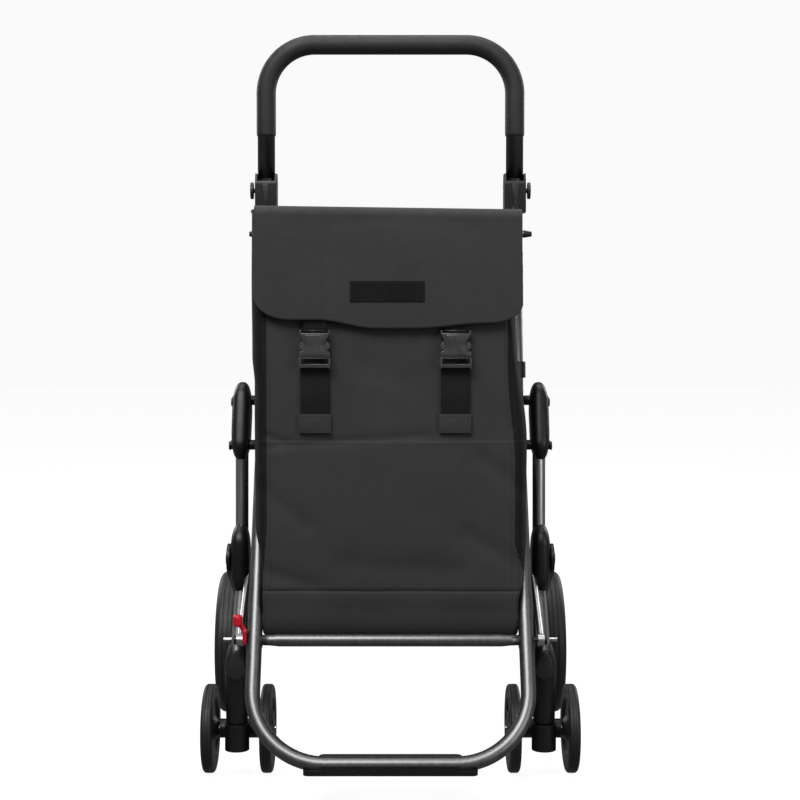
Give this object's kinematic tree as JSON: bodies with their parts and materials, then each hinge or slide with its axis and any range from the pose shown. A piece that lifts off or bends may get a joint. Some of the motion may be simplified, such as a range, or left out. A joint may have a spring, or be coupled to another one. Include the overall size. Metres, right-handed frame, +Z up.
{
  "type": "shopping trolley on wheels",
  "caption": "Upright folding shopping trolley: leaning tube frame with hinged handle, folding rear legs, swivel twin-wheel casters and a buckled flap-top fabric bag.",
  "frame": {"origin": "on the ground, at the middle of the trolley's length and width", "axes": "+X to the right as seen from the front, +Y to the rear wheels, +Z up"},
  "size_m": [0.537, 0.618, 1.03],
  "materials": {
    "frame_paint": "dark metallic grey, satin",
    "silver_tube": "satin anodised",
    "bright_steel": "bright plated",
    "black_tube": "satin black",
    "black_plastic": "moulded",
    "grey_plastic": "moulded",
    "buckle_plastic": "semi-gloss",
    "red_plastic": "gloss",
    "grip_foam": "soft foam",
    "tyre": "smooth",
    "bag_fabric": "coated polyester, plain weave",
    "webbing": "ribbed webbing",
    "label_cloth": "woven patch, blank",
    "base_board": "fluted board"
  },
  "bodies": {
    "frame": {"main_frame_tube": "frame_paint", "lower_crossbar": "frame_paint", "upper_crossbar": "frame_paint", "bar_knobs": "black_plastic", "tube_clips": "black_plastic", "foot_pad": "black_plastic", "frame_bolts": "black_plastic", "hinge_housing_left": "black_plastic", "hinge_housing_right": "black_plastic", "hinge_bushes": "bright_steel", "upper_hub_left": "black_plastic", "upper_hub_right": "black_plastic", "side_struts": "silver_tube", "lower_hub_left": "black_plastic", "lower_hub_right": "black_plastic", "rear_pivot_pins": "grey_plastic", "front_leg_left": "frame_paint", "front_leg_right": "frame_paint", "front_boot_left": "black_plastic", "front_boot_right": "black_plastic", "leg_cross_pins": "bright_steel", "brace_links": "silver_tube", "bag_body": "bag_fabric", "bag_base_board": "base_board", "lower_straps": "webbing", "strap_tabs": "bag_fabric"},
    "handle": {"handle_tube": "black_tube", "handle_grip": "grip_foam", "handle_knuckles": "black_plastic"},
    "handle_button_left": {"handle_button_left": "grey_plastic"},
    "handle_button_right": {"handle_button_right": "grey_plastic"},
    "rear_legs": {"rear_leg_left": "frame_paint", "rear_leg_right": "frame_paint", "rear_leg_lugs": "black_plastic", "rear_axle": "bright_steel"},
    "rear_wheel_left": {"rear_rim_left": "grey_plastic", "rear_tyre_left": "tyre", "rear_cap_left": "grey_plastic"},
    "rear_wheel_right": {"rear_rim_right": "grey_plastic", "rear_tyre_right": "tyre", "rear_cap_right": "grey_plastic"},
    "caster_left": {"caster_body_left": "black_plastic", "caster_axle_left": "bright_steel"},
    "caster_right": {"caster_body_right": "black_plastic", "caster_axle_right": "bright_steel"},
    "caster_wheel_outer_left": {"caster_rim_outer_left": "grey_plastic", "caster_tyre_outer_left": "tyre"},
    "caster_wheel_inner_left": {"caster_rim_inner_left": "grey_plastic", "caster_tyre_inner_left": "tyre"},
    "caster_wheel_outer_right": {"caster_rim_outer_right": "grey_plastic", "caster_tyre_outer_right": "tyre"},
    "caster_wheel_inner_right": {"caster_rim_inner_right": "grey_plastic", "caster_tyre_inner_right": "tyre"},
    "fold_latch": {"latch_lever": "red_plastic"},
    "bag_flap": {"bag_flap": "bag_fabric", "label_patch": "label_cloth", "upper_straps": "webbing", "buckle_females": "buckle_plastic"},
    "buckle_male_left": {"buckle_male_left": "buckle_plastic"},
    "buckle_male_right": {"buckle_male_right": "buckle_plastic"}
  },
  "joints": [
    {"name": "handle_fold", "type": "hinge", "parent": "frame", "child": "handle", "pos_m": [0, 0.006, 0.807], "axis": [-1, 0, 0], "range_deg": [0, 110]},
    {"name": "button_left", "type": "slide", "parent": "frame", "child": "handle_button_left", "axis": [1, 0, 0], "range_m": [0, 0.003], "stiffness_N_per_m": 900, "springref_m": -0.001},
    {"name": "button_right", "type": "slide", "parent": "frame", "child": "handle_button_right", "axis": [-1, 0, 0], "range_m": [0, 0.003], "stiffness_N_per_m": 900, "springref_m": -0.001},
    {"name": "rear_fold", "type": "hinge", "parent": "frame", "child": "rear_legs", "pos_m": [0.208, -0.083, 0.287], "axis": [1, 0, 0], "range_deg": [0, 90]},
    {"name": "rear_spin_left", "type": "hinge", "parent": "rear_legs", "child": "rear_wheel_left", "pos_m": [-0.252, 0.199, 0.11], "axis": [1, 0, 0], "continuous": true},
    {"name": "rear_spin_right", "type": "hinge", "parent": "rear_legs", "child": "rear_wheel_right", "pos_m": [0.252, 0.199, 0.11], "axis": [1, 0, 0], "continuous": true},
    {"name": "caster_swivel_left", "type": "hinge", "parent": "frame", "child": "caster_left", "pos_m": [-0.208, -0.161, 0.09], "axis": [0, 0, 1], "continuous": true},
    {"name": "caster_spin_outer_left", "type": "hinge", "parent": "caster_left", "child": "caster_wheel_outer_left", "pos_m": [-0.2475, -0.131, 0.06], "axis": [1, 0, 0], "continuous": true},
    {"name": "caster_spin_inner_left", "type": "hinge", "parent": "caster_left", "child": "caster_wheel_inner_left", "pos_m": [-0.1685, -0.131, 0.06], "axis": [1, 0, 0], "continuous": true},
    {"name": "caster_swivel_right", "type": "hinge", "parent": "frame", "child": "caster_right", "pos_m": [0.208, -0.161, 0.09], "axis": [0, 0, 1], "continuous": true},
    {"name": "caster_spin_outer_right", "type": "hinge", "parent": "caster_right", "child": "caster_wheel_outer_right", "pos_m": [0.2475, -0.131, 0.06], "axis": [1, 0, 0], "continuous": true},
    {"name": "caster_spin_inner_right", "type": "hinge", "parent": "caster_right", "child": "caster_wheel_inner_right", "pos_m": [0.1685, -0.131, 0.06], "axis": [1, 0, 0], "continuous": true},
    {"name": "latch_swing", "type": "hinge", "parent": "frame", "child": "fold_latch", "pos_m": [-0.1916, -0.2145, 0.2], "axis": [-1, 0, 0], "range_deg": [0, 35]},
    {"name": "flap_open", "type": "hinge", "parent": "frame", "child": "bag_flap", "pos_m": [0, -0.019, 0.774], "axis": [-1, 0, 0], "range_deg": [0, 75]},
    {"name": "buckle_release_left", "type": "slide", "parent": "bag_flap", "child": "buckle_male_left", "axis": [0, 0, -1], "range_m": [0, 0.024]},
    {"name": "buckle_release_right", "type": "slide", "parent": "bag_flap", "child": "buckle_male_right", "axis": [0, 0, -1], "range_m": [0, 0.024]}
  ]
}
